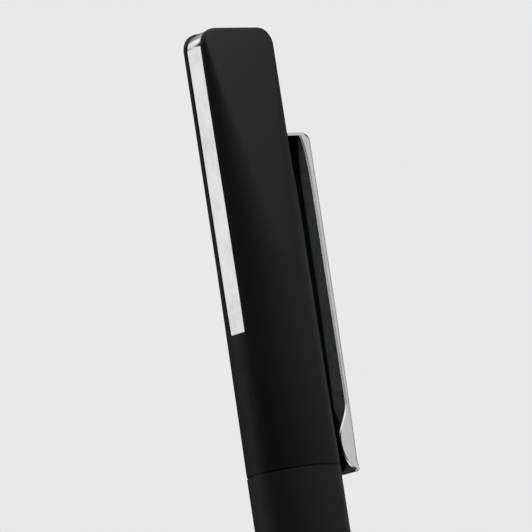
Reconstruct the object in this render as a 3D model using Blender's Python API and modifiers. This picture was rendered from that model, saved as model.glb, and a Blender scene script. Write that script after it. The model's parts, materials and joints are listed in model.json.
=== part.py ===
"""A capped detector-ink marker: a round barrel, a screw-in grip section that carries a
refill, and a pull-off cap whose head runs from a circle to a flat rectangle.

The pen stands on its tail with its axis on +Z, and the origin is the centre of the
tail's rest face. The trim band is on the cap's -X side and the clip on its +X side.
Lengths are in millimetres and become metres as each mesh is made.
"""

import math

import bmesh
import bpy

MM = 0.001
OBJECT_NAME = "counterfeit_detector_pen"

# Driving dimensions
LENGTH = 138.0
SEAM_Z = 77.0
MOUTH_R = 6.36  # outside radius of the cap's mouth
FACET_R = 6.15  # and where the head begins
BARREL_R = 6.38
SEATED = 0.05  # gap between pieces that are pressed, glued or screwed together
SEAM_GAP = 0.11  # from the seam plane to each of the two edges that meet there

# Turned pieces
SIDES = 36
EDGE = 0.15  # chamfer at the mouths of the cap and the barrel

# Barrel, tail plug and thread bush
BARREL_BORE = 5.4
TAIL_R = 6.0
TAPER_TOP_Z = 24.0
PLUG_FLANGE = 2.45
PLUG_SPIGOT_TOP = 8.0
PLUG_FLOOR = 3.0
PLUG_CUP_R = 3.9
REST_R = 5.4
BUSH_TOP = 76.1
BUSH_LENGTH = 4.5

# Grip section, with the spigot that screws into the bush
GRIP_R = 4.65
SPIGOT_R = 4.1
SPIGOT_BOTTOM = 70.0
GRIP_FRONT = 100.75
GRIP_BORE = 3.4
GRIP_NOSE_BORE = 2.65
REFILL_STOP = 97.0
RING_GROOVE = (80.0, 81.0)

# Refill
REFILL_R = 3.3
REFILL_BORE = 2.93
REFILL_TAIL = 9.9
TUBE_BOTTOM = 10.9
TUBE_TOP = 94.97
NIB_R = 1.2
NIB_TIP = 113.5
NIB_TAIL = 84.0
HOLDER_TOP = 108.5

# Cap: a round mouth, and a head that flattens above FACET_Z
CAP_BORE = 5.3
CAP_WALL = 1.0
FACET_Z = 105.5
HEAD_HALF_W = 6.12
HEAD_HALF_T = 2.37
HEAD_CORNER = 0.3
SHOULDER_R = 2.5
TOP_EDGE = 0.3
CAVITY_TOP = 136.4
ARC_STEPS = 8

# Cap liner, inner cap and seal
SLEEVE_BORE = 4.75
SLEEVE_SPAN = (77.6, 92.0)
INNER_CAP_TOP = 119.6
INNER_CAP_SEAT = 101.85

# Trim band, set in a groove that runs up the side and over the top
TRIM_WIDTH = 3.14
TRIM_THICK = 0.5
TRIM_SINK = 0.12
TRIM_BOTTOM = 96.2
TRIM_END_X = 3.5
TRIM_FACE_X = 6.0  # distance of the band's face from the axis at its lower end

# Clip: a channel of folded sheet, with a narrower root tab held inside the head
SHEET = 0.42
CLIP_WIDTH = 4.0
CLIP_ROOT_Z = 123.05
CLIP_FACE_X = 10.36  # outer face of the web below the bend
CLIP_LEAN = 0.45  # how far the web has curved in at its tip
CLIP_BEND_R = 1.2
CLIP_TIP_Z = 75.6
CLIP_TIP_R = 0.36
WEB_STEPS = 8
FLANGE_ROOT_X = 8.65
FLANGE_X = 9.47  # free edge of the flanges along their straight stretch
FLANGE_TOP_Z = 113.0
FLANGE_TIP = (9.42, 76.2)
BUMP = (7.47, 80.6)
BUMP_TOP = (9.45, 85.8)
NECK_X = 6.35  # the arm is as narrow as the tab inside this
TAB_WIDTH = 3.0
TAB_X = 4.4
TAB_TOP = 127.0
SLOT_CLEARANCE = 0.16
TAB_CLEARANCE = 0.32


# ---------------------------------------------------------------- scene and materials


def clear_scene():
    for obj in list(bpy.data.objects):
        bpy.data.objects.remove(obj)


def new_collection(name):
    collection = bpy.data.collections.new(name)
    bpy.context.scene.collection.children.link(collection)
    return collection


def new_material(name, color, roughness, metallic=0.0):
    material = bpy.data.materials.new(name)
    material.use_nodes = True
    shader = material.node_tree.nodes["Principled BSDF"]
    shader.inputs["Base Color"].default_value = (*color, 1.0)
    shader.inputs["Roughness"].default_value = roughness
    shader.inputs["Metallic"].default_value = metallic
    return material


def make_materials():
    return {
        "soft_touch": new_material("soft_touch_black", (0.014, 0.014, 0.015), 0.62),
        "steel": new_material("polished_steel", (0.78, 0.78, 0.77), 0.14, 1.0),
        "spring": new_material("spring_steel", (0.56, 0.56, 0.57), 0.3, 1.0),
        "brass": new_material("brass", (0.72, 0.53, 0.25), 0.28, 1.0),
        "black_plastic": new_material("black_plastic", (0.02, 0.02, 0.021), 0.42),
        "grey_plastic": new_material("grey_plastic", (0.16, 0.16, 0.165), 0.45),
        "natural_plastic": new_material("natural_plastic", (0.78, 0.77, 0.72), 0.4),
        "rubber": new_material("black_rubber", (0.018, 0.018, 0.018), 0.75),
        "fibre": new_material("ink_fibre", (0.62, 0.42, 0.16), 0.9),
        "nib": new_material("nib_felt", (0.42, 0.22, 0.05), 0.85),
    }


def link(obj, collection, material=None):
    if material is not None:
        obj.data.materials.append(material)
    collection.objects.link(obj)
    return obj


# ---------------------------------------------------------------- shape helpers


def turned(name, profile, material):
    """A turned solid. The (radius, z) points run down its outer side, and a profile with
    no point on the axis is closed into a ring."""
    bm = bmesh.new()
    verts = [bm.verts.new((r * MM, 0.0, z * MM)) for r, z in profile]
    for first, second in zip(verts, verts[1:]):
        bm.edges.new((first, second))
    if profile[0][0] > 0:
        bm.edges.new((verts[-1], verts[0]))
    mesh = bpy.data.meshes.new(name)
    bm.to_mesh(mesh)
    bm.free()
    obj = link(bpy.data.objects.new(name, mesh), parts, material)
    screw = obj.modifiers.new("Turn", "SCREW")
    screw.steps = SIDES
    screw.render_steps = SIDES
    screw.use_merge_vertices = True
    screw.merge_threshold = 1e-6
    screw.use_smooth_shade = False
    return obj


def extruded(name, outline, width, collection, material=None):
    """A solid whose outline lies in the XZ plane, centred on Y and as wide as width."""
    bm = bmesh.new()
    verts = [bm.verts.new((x * MM, -width / 2 * MM, z * MM)) for x, z in outline]
    face = bm.faces.new(verts)
    grown = bmesh.ops.extrude_face_region(bm, geom=[face])["geom"]
    moved = [item for item in grown if isinstance(item, bmesh.types.BMVert)]
    bmesh.ops.translate(bm, verts=moved, vec=(0.0, width * MM, 0.0))
    bmesh.ops.recalc_face_normals(bm, faces=bm.faces)
    bmesh.ops.triangulate(bm, faces=bm.faces)
    mesh = bpy.data.meshes.new(name)
    bm.to_mesh(mesh)
    bm.free()
    return link(bpy.data.objects.new(name, mesh), collection, material)


def lofted(name, rings, material):
    """A closed solid through rings of equal length, with a flat face on the first and
    the last. Points that meet where a flat narrows to nothing become one."""
    bm = bmesh.new()
    levels = [[bm.verts.new([c * MM for c in point]) for point in ring] for ring in rings]
    for low, high in zip(levels, levels[1:]):
        for i in range(len(low)):
            j = (i + 1) % len(low)
            bm.faces.new((low[i], low[j], high[j], high[i]))
    bm.faces.new(list(reversed(levels[0])))
    bm.faces.new(levels[-1])
    bmesh.ops.remove_doubles(bm, verts=bm.verts, dist=1e-7)
    bmesh.ops.triangulate(bm, faces=bm.faces)
    bmesh.ops.recalc_face_normals(bm, faces=bm.faces)
    mesh = bpy.data.meshes.new(name)
    bm.to_mesh(mesh)
    bm.free()
    return link(bpy.data.objects.new(name, mesh), parts, material)


def box_cutter(name, low, high):
    bm = bmesh.new()
    bmesh.ops.create_cube(bm, size=1.0)
    for vert in bm.verts:
        for axis in range(3):
            middle = (low[axis] + high[axis]) / 2
            vert.co[axis] = (middle + vert.co[axis] * (high[axis] - low[axis])) * MM
    mesh = bpy.data.meshes.new(name)
    bm.to_mesh(mesh)
    bm.free()
    return as_cutter(link(bpy.data.objects.new(name, mesh), cutters))


def as_cutter(obj):
    obj.hide_render = True
    obj.display_type = "WIRE"
    return obj


def cut(obj, cutter):
    boolean = obj.modifiers.new("Cut " + cutter.name, "BOOLEAN")
    boolean.operation = "DIFFERENCE"
    boolean.object = cutter


def arc(centre, radius, start_deg, end_deg, steps):
    """Points along an arc in the XZ plane, both ends included."""
    points = []
    for i in range(steps + 1):
        angle = math.radians(start_deg + (end_deg - start_deg) * i / steps)
        points.append((centre[0] + radius * math.cos(angle), centre[1] + radius * math.sin(angle)))
    return points


def bezier(p0, p1, p2, p3, steps):
    """Points along a cubic curve, without its first point."""
    points = []
    for i in range(1, steps + 1):
        t = i / steps
        weights = ((1 - t) ** 3, 3 * t * (1 - t) ** 2, 3 * t * t * (1 - t), t**3)
        x = sum(w * p[0] for w, p in zip(weights, (p0, p1, p2, p3)))
        z = sum(w * p[1] for w, p in zip(weights, (p0, p1, p2, p3)))
        points.append((x, z))
    return points


# ---------------------------------------------------------------- the head's section rule


def head_blend(z):
    """0 where the cap is round, 1 at the flat top."""
    return max(0.0, (z - FACET_Z) / (LENGTH - FACET_Z))


def head_ring(z, round_r=FACET_R, inset=0.0, shave=0.0, thinner=0.0):
    """One level of the cap, with round_r as its radius at FACET_Z. The corner arcs shrink
    and move out in step as z rises, so the sides between them are flat triangles that
    start from points at FACET_Z. inset moves the head's sides in, shave narrows the level
    in X only and thinner in Y only."""
    t = head_blend(z)
    radius = round_r * (1 - t) + HEAD_CORNER * t
    centre_x = (HEAD_HALF_W - inset - HEAD_CORNER) * t - shave
    centre_y = (HEAD_HALF_T - inset - HEAD_CORNER) * t - thinner
    points = []
    for quarter, (sign_x, sign_y) in enumerate(((1, 1), (-1, 1), (-1, -1), (1, -1))):
        for i in range(ARC_STEPS + 1):
            angle = math.pi / 2 * (quarter + i / ARC_STEPS)
            x = sign_x * centre_x + radius * math.cos(angle)
            y = sign_y * centre_y + radius * math.sin(angle)
            points.append((x, y, z))
    return points


def mouth_ring(z, radius):
    """A round level with as many points as head_ring gives."""
    return [(x * radius / FACET_R, y * radius / FACET_R, z) for x, y, _ in head_ring(SEAM_Z)]


# ---------------------------------------------------------------- barrel


def make_barrel_tube():
    top = SEAM_Z - SEAM_GAP
    turned(
        "barrel_tube",
        [
            (BARREL_R - EDGE, top),
            (BARREL_R, top - EDGE),
            (BARREL_R, TAPER_TOP_Z),
            (TAIL_R, PLUG_FLANGE + SEATED + EDGE),
            (TAIL_R - EDGE, PLUG_FLANGE + SEATED),
            (BARREL_BORE, PLUG_FLANGE + SEATED),
            (BARREL_BORE, top),
        ],
        materials["soft_touch"],
    )


def make_tail_plug():
    spigot_r = BARREL_BORE - SEATED
    turned(
        "tail_plug",
        [
            (0.0, PLUG_FLOOR),
            (PLUG_CUP_R, PLUG_FLOOR),
            (PLUG_CUP_R, PLUG_SPIGOT_TOP),
            (spigot_r, PLUG_SPIGOT_TOP),
            (spigot_r, PLUG_FLANGE),
            (TAIL_R - EDGE, PLUG_FLANGE),
            (TAIL_R - EDGE, TAIL_R - REST_R),
            (REST_R, 0.0),
            (0.0, 0.0),
        ],
        materials["black_plastic"],
    )


def make_thread_bush():
    outer, inner, bottom = BARREL_BORE - SEATED, SPIGOT_R + 0.15, BUSH_TOP - BUSH_LENGTH
    ring("thread_bush", outer, inner, BUSH_TOP, bottom, materials["brass"])


def ring(name, outer, inner, top, bottom, material):
    profile = [(outer, top), (outer, bottom), (inner, bottom), (inner, top)]
    return turned(name, profile, material)


def make_refill_spring():
    """A coil between the tail plug's floor and the refill's end."""
    wire_r, coil_r, turns, points_a_turn = 0.25, 2.9, 5, 12
    low = PLUG_FLOOR + wire_r + SEATED
    high = REFILL_TAIL - wire_r - SEATED
    curve = bpy.data.curves.new("refill_spring", "CURVE")
    curve.dimensions = "3D"
    curve.bevel_depth = wire_r * MM
    curve.bevel_resolution = 1
    curve.use_fill_caps = True
    spline = curve.splines.new("POLY")
    count = turns * points_a_turn
    spline.points.add(count)
    for i, point in enumerate(spline.points):
        angle = 2 * math.pi * i / points_a_turn
        z = low + (high - low) * i / count
        x, y = coil_r * math.cos(angle), coil_r * math.sin(angle)
        point.co = (x * MM, y * MM, z * MM, 1.0)
    link(bpy.data.objects.new("refill_spring", curve), parts, materials["spring"])


# ---------------------------------------------------------------- grip section and refill


def make_shoulder_washer():
    thick = 2 * SEAM_GAP - 2 * 0.04
    top = SEAM_Z + thick / 2
    inner = SPIGOT_R + 0.15
    ring("shoulder_washer", 6.22, inner, top, top - thick, materials["black_plastic"])


def make_grip_section():
    shoulder = SEAM_Z + SEAM_GAP
    groove_low, groove_high = RING_GROOVE
    turned(
        "grip_section",
        [
            (3.3, GRIP_FRONT),
            (3.75, GRIP_FRONT - 0.25),
            (3.95, GRIP_FRONT - 0.8),
            (4.05, 97.5),
            (4.2, 94.0),
            (4.4, 90.0),
            (4.58, 86.0),
            (GRIP_R, 83.0),
            (GRIP_R, groove_high),
            (SPIGOT_R, groove_high),
            (SPIGOT_R, groove_low),
            (GRIP_R, groove_low),
            (GRIP_R, shoulder),
            (SPIGOT_R, shoulder),
            (SPIGOT_R, SPIGOT_BOTTOM + 0.4),
            (SPIGOT_R - 0.4, SPIGOT_BOTTOM),
            (GRIP_BORE, SPIGOT_BOTTOM),
            (GRIP_BORE, REFILL_STOP),
            (GRIP_NOSE_BORE, REFILL_STOP),
            (GRIP_NOSE_BORE, GRIP_FRONT),
        ],
        materials["black_plastic"],
    )


def make_section_o_ring():
    """A cord ring round the spigot, in the step between the bush and the washer."""
    cord_r = 0.3
    centre_z = (BUSH_TOP + SEAM_Z - SEAM_GAP) / 2
    bpy.ops.mesh.primitive_torus_add(
        major_segments=28,
        minor_segments=8,
        major_radius=(SPIGOT_R + 0.1 + cord_r) * MM,
        minor_radius=cord_r * MM,
        location=(0.0, 0.0, centre_z * MM),
    )
    obj = bpy.context.object
    obj.name = "section_o_ring"
    for collection in list(obj.users_collection):
        collection.objects.unlink(obj)
    link(obj, parts, materials["rubber"])


def make_refill_tube():
    plastic = materials["natural_plastic"]
    ring("refill_tube", REFILL_R, REFILL_BORE, TUBE_TOP, TUBE_BOTTOM, plastic)


def make_reservoir_core():
    core_r, bore = REFILL_BORE - SEATED, NIB_R + SEATED
    top = TUBE_TOP - 5.02
    turned(
        "reservoir_core",
        [
            (0.0, NIB_TAIL - 0.1),
            (bore, NIB_TAIL - 0.1),
            (bore, top),
            (core_r, top),
            (core_r, 13.1),
            (0.0, 13.1),
        ],
        materials["fibre"],
    )


def make_refill_end_plug():
    turned(
        "refill_end_plug",
        [
            (0.0, 13.0),
            (REFILL_BORE - SEATED, 13.0),
            (REFILL_BORE - SEATED, TUBE_BOTTOM - SEATED),
            (REFILL_R, TUBE_BOTTOM - SEATED),
            (REFILL_R, REFILL_TAIL),
            (0.0, REFILL_TAIL),
        ],
        materials["grey_plastic"],
    )


def make_nib_holder():
    bore = NIB_R + SEATED
    neck_r = GRIP_NOSE_BORE - 0.1
    turned(
        "nib_holder",
        [
            (1.75, HOLDER_TOP),
            (1.95, HOLDER_TOP - 0.3),
            (neck_r, 102.0),
            (neck_r, REFILL_STOP - SEATED),
            (REFILL_R, REFILL_STOP - SEATED),
            (REFILL_R, TUBE_TOP + SEATED),
            (REFILL_BORE - SEATED, TUBE_TOP + SEATED),
            (REFILL_BORE - SEATED, TUBE_TOP - 4.9),
            (bore, TUBE_TOP - 4.9),
            (bore, HOLDER_TOP),
        ],
        materials["natural_plastic"],
    )


def make_nib():
    """A bullet nib of bonded fibre, whose tail reaches into the reservoir."""
    nose = 2.2
    profile = [(0.0, NIB_TIP)]
    for step in range(1, 6):
        angle = math.pi / 2 * step / 5
        profile.append((NIB_R * math.sin(angle), NIB_TIP - nose * (1 - math.cos(angle))))
    profile += [(NIB_R, NIB_TAIL), (0.0, NIB_TAIL)]
    turned("nib", profile, materials["nib"])


def make_snap_ring():
    """A split spring ring in the grip's groove, which the cap's liner clicks over."""
    low, high = RING_GROOVE
    outer, inner = GRIP_R + 0.03, SPIGOT_R + SEATED
    obj = ring("snap_ring", outer, inner, high - 0.1, low + 0.1, materials["spring"])
    cut(obj, box_cutter("snap_ring_split", (3.0, -0.6, low - 1), (6.0, 0.6, high + 1)))


# ---------------------------------------------------------------- cap


def make_cap_shell():
    mouth = SEAM_Z + SEAM_GAP
    outer = [mouth_ring(mouth, MOUTH_R - EDGE), mouth_ring(mouth + EDGE, MOUTH_R), head_ring(FACET_Z)]
    edge_angle = math.degrees(math.asin(1 - TOP_EDGE / SHOULDER_R))
    for degrees in (0.0, 15.0, 30.0, 45.0, edge_angle):
        angle = math.radians(degrees)
        z = LENGTH - SHOULDER_R * (1 - math.sin(angle))
        outer.append(head_ring(z, shave=SHOULDER_R * (1 - math.cos(angle))))
    outer.append(head_ring(LENGTH, shave=SHOULDER_R, thinner=TOP_EDGE))
    inner = [
        head_ring(CAVITY_TOP, CAP_BORE, CAP_WALL, shave=1.2),
        head_ring(CAVITY_TOP - 1.5, CAP_BORE, CAP_WALL),
        head_ring(FACET_Z, CAP_BORE, CAP_WALL),
        mouth_ring(mouth, CAP_BORE),
    ]
    shell = lofted("cap_shell", list(reversed(outer)) + list(reversed(inner)), materials["soft_touch"])
    cut(shell, make_trim_groove())
    half_slot = SHEET / 2 + SLOT_CLEARANCE
    slot = box_cutter(
        "clip_slot",
        (CAP_BORE - 1.0, -TAB_WIDTH / 2 - SLOT_CLEARANCE, CLIP_ROOT_Z - half_slot),
        (MOUTH_R + 1.0, TAB_WIDTH / 2 + SLOT_CLEARANCE, CLIP_ROOT_Z + half_slot),
    )
    cut(shell, slot)


def trim_path(depth):
    """The line in the XZ plane that lies depth inside the head's side, shoulder and top."""
    top_x = HEAD_HALF_W + (FACET_R - HEAD_HALF_W) * (1 - head_blend(LENGTH - SHOULDER_R))
    centre = (SHOULDER_R - top_x, LENGTH - SHOULDER_R)
    side = [(depth - TRIM_FACE_X, TRIM_BOTTOM)]
    shoulder = arc(centre, SHOULDER_R - depth, 180, 90, 8)
    return side + shoulder + [(TRIM_END_X, LENGTH - depth)]


def make_trim_groove():
    """The cutter for the trim band's groove, open outwards and a little wider."""
    floor = trim_path(TRIM_SINK + TRIM_THICK + SEATED)
    start, end = floor[0], floor[-1]
    outline = [
        (-MOUTH_R - 2.0, start[1] - SEATED),
        (start[0], start[1] - SEATED),
        *floor[1:-1],
        (end[0] + SEATED, end[1]),
        (end[0] + SEATED, LENGTH + 2.0),
        (-MOUTH_R - 2.0, LENGTH + 2.0),
    ]
    width = TRIM_WIDTH + 2 * SEATED
    return as_cutter(extruded("trim_groove", outline, width, cutters))


def make_trim_band():
    outer = trim_path(TRIM_SINK)
    inner = trim_path(TRIM_SINK + TRIM_THICK)
    extruded("trim_band", outer + inner[::-1], TRIM_WIDTH, parts, materials["steel"])


def make_cap_sleeve():
    """The cap's liner, with a shallow groove that the snap ring sits in."""
    bottom, top = SLEEVE_SPAN
    outer = CAP_BORE - SEATED
    low, high = RING_GROOVE
    turned(
        "cap_sleeve",
        [
            (outer, top),
            (outer, bottom),
            (SLEEVE_BORE + 0.2, bottom),
            (SLEEVE_BORE, bottom + 0.6),
            (SLEEVE_BORE, low - 0.1),
            (SLEEVE_BORE + 0.15, low + 0.1),
            (SLEEVE_BORE + 0.15, high - 0.1),
            (SLEEVE_BORE, high + 0.1),
            (SLEEVE_BORE, top),
        ],
        materials["grey_plastic"],
    )


def make_inner_cap():
    """The cup that closes over the nib. It tapers to fit the flattening head."""
    mouth_r = CAP_BORE - 0.08
    bottom = SLEEVE_SPAN[1] + 0.1
    turned(
        "inner_cap",
        [
            (0.0, INNER_CAP_TOP),
            (3.2, INNER_CAP_TOP),
            (3.45, INNER_CAP_TOP - 0.3),
            (mouth_r, 104.5),
            (mouth_r, bottom),
            (4.5, bottom),
            (4.5, INNER_CAP_SEAT),
            (3.6, INNER_CAP_SEAT),
            (3.1, INNER_CAP_TOP - 0.7),
            (0.0, INNER_CAP_TOP - 0.7),
        ],
        materials["natural_plastic"],
    )


def make_inner_cap_seal():
    """A flat ring with rounded lips, between the inner cap's step and the grip's nose."""
    top, bottom, outer, inner = INNER_CAP_SEAT - SEATED, GRIP_FRONT + 0.1, 4.42, 3.05
    lip = 0.2
    turned(
        "inner_cap_seal",
        [
            (outer - lip, top),
            (outer, top - lip),
            (outer, bottom + lip),
            (outer - lip, bottom),
            (inner + lip, bottom),
            (inner, bottom + lip),
            (inner, top - lip),
            (inner + lip, top),
        ],
        materials["rubber"],
    )


def make_clip_retainer():
    """A block that fills the head round the clip's tab, with a pocket on its +X side."""
    bottom, top = INNER_CAP_TOP + 0.2, 129.5
    rings = [head_ring(z, CAP_BORE - 0.08, CAP_WALL + 0.08) for z in (bottom, top)]
    block = lofted("clip_retainer", rings, materials["grey_plastic"])
    pocket = box_cutter(
        "tab_pocket",
        (TAB_X - TAB_CLEARANCE, -TAB_WIDTH / 2 - TAB_CLEARANCE, CLIP_ROOT_Z - SHEET / 2 - TAB_CLEARANCE),
        (MOUTH_R + 1.0, TAB_WIDTH / 2 + TAB_CLEARANCE, TAB_TOP + TAB_CLEARANCE),
    )
    cut(block, pocket)


# ---------------------------------------------------------------- clip


ARM_TOP = CLIP_ROOT_Z + SHEET / 2
ARM_LOW = CLIP_ROOT_Z - SHEET / 2
BEND_Z = ARM_TOP - CLIP_BEND_R


def clip_face_x(z):
    """The outer face of the clip's web, straight at first and curving in to the tip."""
    share = (BEND_Z - z) / (BEND_Z - CLIP_TIP_Z)
    return CLIP_FACE_X - CLIP_LEAN * share**3


def web_line(depth, low):
    """The web's line from the bend down to a height, depth inside its outer face."""
    heights = [BEND_Z + (low - BEND_Z) * i / WEB_STEPS for i in range(1, WEB_STEPS + 1)]
    bend = arc((CLIP_FACE_X - CLIP_BEND_R, BEND_Z), CLIP_BEND_R - depth, 90, 0, 5)
    return bend + [(clip_face_x(z) - depth, z) for z in heights]


def clip_outline():
    """The clip from the side: tab, arm, bend, web, tip and the flange edge with its bump."""
    tip_z = CLIP_TIP_Z + CLIP_TIP_R
    tip = arc((clip_face_x(tip_z) - CLIP_TIP_R, tip_z), CLIP_TIP_R, 0, -90, 4)
    flange_top = (FLANGE_X, FLANGE_TOP_Z)
    flange_root = (FLANGE_ROOT_X, ARM_LOW)
    return [
        (TAB_X, TAB_TOP),
        (TAB_X + SHEET, TAB_TOP),
        (TAB_X + SHEET, ARM_TOP),
        *web_line(0.0, tip_z),
        *tip[1:],
        FLANGE_TIP,
        *bezier(FLANGE_TIP, (8.75, 76.85), (BUMP[0], 78.1), BUMP, 8),
        *bezier(BUMP, (BUMP[0], 82.3), (9.2, 83.6), BUMP_TOP, 8),
        *bezier(BUMP_TOP, (FLANGE_X, 89.0), (FLANGE_X, 92.0), (FLANGE_X, 95.0), 2),
        *bezier(flange_top, (FLANGE_X, 118.0), (9.25, 121.3), flange_root, 4),
        (TAB_X, ARM_LOW),
    ]


def make_clip():
    """A folded channel: the side outline across its whole width, hollowed between the
    two flanges as far as the web and the arm, and cut narrower inside the head."""
    clip = extruded("clip", clip_outline(), CLIP_WIDTH, parts, materials["steel"])
    below, inside = CLIP_TIP_Z - 1.0, BUMP[0] - 1.0
    hollow = web_line(SHEET, below) + [(inside, below), (inside, ARM_LOW)]
    width = CLIP_WIDTH - 2 * SHEET
    cut(clip, as_cutter(extruded("clip_channel", hollow, width, cutters)))
    for side in (-1, 1):
        near, far = sorted((side * TAB_WIDTH / 2, side * CLIP_WIDTH))
        low = (TAB_X - 1.0, near, CLIP_ROOT_Z - 1.0)
        high = (NECK_X, far, TAB_TOP + 1.0)
        cut(clip, box_cutter("clip_neck_side", low, high))


# ---------------------------------------------------------------- assembly

clear_scene()
parts = new_collection(OBJECT_NAME)
cutters = new_collection("cutters")
materials = make_materials()

make_barrel_tube()
make_tail_plug()
make_thread_bush()
make_refill_spring()
make_shoulder_washer()
make_grip_section()
make_section_o_ring()
make_refill_tube()
make_reservoir_core()
make_refill_end_plug()
make_nib_holder()
make_nib()
make_snap_ring()
make_cap_shell()
make_trim_band()
make_cap_sleeve()
make_inner_cap()
make_inner_cap_seal()
make_clip_retainer()
make_clip()
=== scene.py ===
"""The looks of a capped detector-ink marker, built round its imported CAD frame.

Each CAD node gets a fine piece that stands for it: turned pieces from filleted profiles,
the cap as a loft with its groove and slot cut out, the clip and the band as folded and
bent sheet. Lengths here are in millimetres and become metres as each mesh is made.
"""

import json
import math

import bmesh
import bpy
from mathutils import Matrix, Vector


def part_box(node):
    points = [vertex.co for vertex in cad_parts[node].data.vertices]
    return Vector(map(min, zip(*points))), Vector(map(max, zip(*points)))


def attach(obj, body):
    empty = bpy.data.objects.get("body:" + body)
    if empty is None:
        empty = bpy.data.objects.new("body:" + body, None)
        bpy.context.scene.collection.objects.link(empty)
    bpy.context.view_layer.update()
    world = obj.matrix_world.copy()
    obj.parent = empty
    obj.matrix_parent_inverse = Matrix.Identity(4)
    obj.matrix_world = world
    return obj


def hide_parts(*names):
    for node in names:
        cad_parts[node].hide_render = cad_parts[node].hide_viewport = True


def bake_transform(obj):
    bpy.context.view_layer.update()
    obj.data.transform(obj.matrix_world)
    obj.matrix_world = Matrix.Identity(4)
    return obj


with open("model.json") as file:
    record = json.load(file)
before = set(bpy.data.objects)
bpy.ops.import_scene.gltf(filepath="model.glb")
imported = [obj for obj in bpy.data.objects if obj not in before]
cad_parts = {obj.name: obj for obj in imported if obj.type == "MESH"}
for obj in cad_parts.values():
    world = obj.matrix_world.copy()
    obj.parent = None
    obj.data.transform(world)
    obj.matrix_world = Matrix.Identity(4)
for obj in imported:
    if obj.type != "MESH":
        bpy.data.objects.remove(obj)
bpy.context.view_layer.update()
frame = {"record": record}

MM = 0.001


def node_box(node):
    """A CAD node's lowest and highest corners, in millimetres."""
    low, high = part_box(node)
    return low / MM, high / MM


# ---------------------------------------------------------------- sizes, from the frame

CAP_LOW, CAP_HIGH = node_box("cap_shell")
MOUTH_Z = CAP_LOW.z
TOP_Z = CAP_HIGH.z
MOUTH_R = CAP_HIGH.y
BARREL_LOW, BARREL_HIGH = node_box("barrel_tube")
BARREL_R = BARREL_HIGH.x
PLUG_HIGH = node_box("tail_plug")[1]
BUSH_LOW, BUSH_HIGH = node_box("thread_bush")
SPRING_LOW, SPRING_HIGH = node_box("refill_spring")
WASHER_LOW, WASHER_HIGH = node_box("shoulder_washer")
GRIP_LOW, GRIP_HIGH = node_box("grip_section")
GRIP_R = GRIP_HIGH.x
O_RING_LOW, O_RING_HIGH = node_box("section_o_ring")
TUBE_LOW, TUBE_HIGH = node_box("refill_tube")
CORE_LOW, CORE_HIGH = node_box("reservoir_core")
END_LOW, END_HIGH = node_box("refill_end_plug")
HOLDER_LOW, HOLDER_HIGH = node_box("nib_holder")
NIB_LOW, NIB_HIGH = node_box("nib")
SNAP_LOW, SNAP_HIGH = node_box("snap_ring")
BAND_LOW, BAND_HIGH = node_box("trim_band")
SLEEVE_LOW, SLEEVE_HIGH = node_box("cap_sleeve")
INNER_LOW, INNER_HIGH = node_box("inner_cap")
SEAL_LOW, SEAL_HIGH = node_box("inner_cap_seal")
BLOCK_LOW, BLOCK_HIGH = node_box("clip_retainer")
CLIP_LOW, CLIP_HIGH = node_box("clip")

# Cap: the head's section runs from a circle at FACET_Z to a rectangle at the top
FACET_Z = 105.5
FACET_R = 6.15
HEAD_HALF_W = 6.12
HEAD_HALF_T = 2.37
HEAD_CORNER = 0.3
SHOULDER_R = 2.5
TOP_EDGE = 0.3
CAP_BORE = 5.3
CAP_WALL = 1.0
CAVITY_TOP = TOP_Z - 1.6
QUARTER_STEPS = 24  # steps in each corner of a section
HEAD_LEVELS = 48
MOUTH_ROUND = 0.08

# Trim band and clip
TRIM_WIDTH = BAND_HIGH.y - BAND_LOW.y
TRIM_THICK = 0.5
TRIM_FACE_X = 6.0  # distance of the band's face from the axis at its lower end
TRIM_SINK = 0.12
TRIM_GAP = 0.04
SHEET = 0.42
CLIP_WIDTH = CLIP_HIGH.y - CLIP_LOW.y
CLIP_ROOT_Z = 123.05
ARM_TOP = CLIP_ROOT_Z + SHEET / 2
ARM_LOW = CLIP_ROOT_Z - SHEET / 2
CLIP_FACE_X = CLIP_HIGH.x
CLIP_LEAN = 0.45  # how far the web has curved in at its tip
CLIP_BEND_R = 1.2
BEND_Z = ARM_TOP - CLIP_BEND_R
CLIP_TIP_Z = CLIP_LOW.z
CLIP_TIP_R = 0.36
TIP_CROWN = 0.65  # how much lower the tip is in its middle than at its corners
WEB_STEPS = 24
FLANGE_ROOT_X = 8.65
FLANGE_X = 9.47
FLANGE_TOP_Z = 113.0
FLANGE_TIP = (9.42, 76.2)
BUMP = (7.47, 80.6)
BUMP_TOP = (9.45, 85.8)
NECK_X = 6.35
TAB_WIDTH = 3.0
TAB_X = CLIP_LOW.x
TAB_TOP = CLIP_HIGH.z
FOLD_R = 0.5  # outside radius of the two folds along the clip
SHEET_EDGE = 0.02  # chamfer along the sheet's edges
SLOT_CLEARANCE = 0.16

# Thread between the grip section and the bush
PITCH = 0.9
THREAD_DEPTH = 0.24
THREAD_ROW = PITCH / 10  # height of one row of faces on a thread

ROUND_SIDES = 144
FILLET_STEPS = 4
SMOOTH_ANGLE = math.radians(32)


# ---------------------------------------------------------------- shape helpers


def arc(centre, radius, start_deg, end_deg, steps):
    """Points along an arc in the XZ plane, both ends included."""
    points = []
    for i in range(steps + 1):
        angle = math.radians(start_deg + (end_deg - start_deg) * i / steps)
        points.append((centre[0] + radius * math.cos(angle), centre[1] + radius * math.sin(angle)))
    return points


def bezier(p0, p1, p2, p3, steps):
    """Points along a cubic curve, without its first point."""
    points = []
    for i in range(1, steps + 1):
        t = i / steps
        weights = ((1 - t) ** 3, 3 * t * (1 - t) ** 2, 3 * t * t * (1 - t), t**3)
        x = sum(w * p[0] for w, p in zip(weights, (p0, p1, p2, p3)))
        z = sum(w * p[1] for w, p in zip(weights, (p0, p1, p2, p3)))
        points.append((x, z))
    return points


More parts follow.
